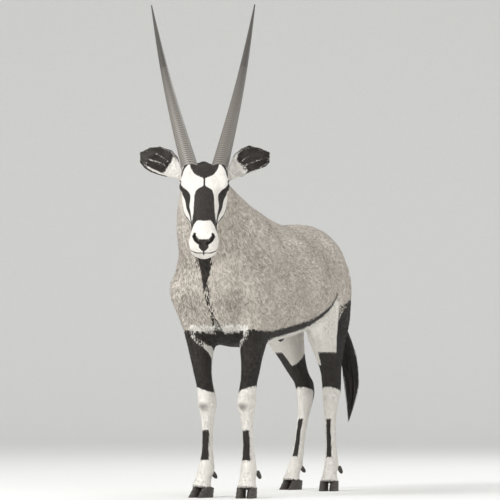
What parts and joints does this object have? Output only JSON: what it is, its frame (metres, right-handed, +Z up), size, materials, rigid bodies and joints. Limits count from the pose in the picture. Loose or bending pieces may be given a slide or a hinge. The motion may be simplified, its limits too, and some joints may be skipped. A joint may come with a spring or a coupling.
{
  "type": "gemsbok",
  "caption": "Life-size still model of a standing adult gemsbok with long ringed horns, head turned a little to its left, hooves flat on the floor.",
  "frame": {"origin": "on the floor under the middle of the model's box", "axes": "+Z up, the animal faces -Y, its left side towards +X"},
  "size_m": [0.6275, 1.7914, 1.9988],
  "materials": {
    "coat": "short flat hair, greyish fawn with black and white marks",
    "hair": "long coarse black hair",
    "horn": "satin horn, ringed below, smooth at the tip",
    "hoof": "worn satin horn",
    "eye": "wet gloss, dark brown"
  },
  "bodies": {
    "root": {"dewclaw_front_left_inner": "hoof", "dewclaw_front_left_outer": "hoof", "dewclaw_front_right_inner": "hoof", "dewclaw_front_right_outer": "hoof", "dewclaw_hind_left_inner": "hoof", "dewclaw_hind_left_outer": "hoof", "dewclaw_hind_right_inner": "hoof", "dewclaw_hind_right_outer": "hoof", "ear_left": "coat", "ear_right": "coat", "eye_left": "eye", "eye_right": "eye", "head": "coat", "hoof_front_left_inner": "hoof", "hoof_front_left_outer": "hoof", "hoof_front_right_inner": "hoof", "hoof_front_right_outer": "hoof", "hoof_hind_left_inner": "hoof", "hoof_hind_left_outer": "hoof", "hoof_hind_right_inner": "hoof", "hoof_hind_right_outer": "hoof", "horn_left": "horn", "horn_right": "horn", "leg_front_left": "coat", "leg_front_right": "coat", "leg_hind_left": "coat", "leg_hind_right": "coat", "neck": "coat", "tail_dock": "coat", "tail_tuft": "hair", "torso": "coat"}
  },
  "joints": []
}
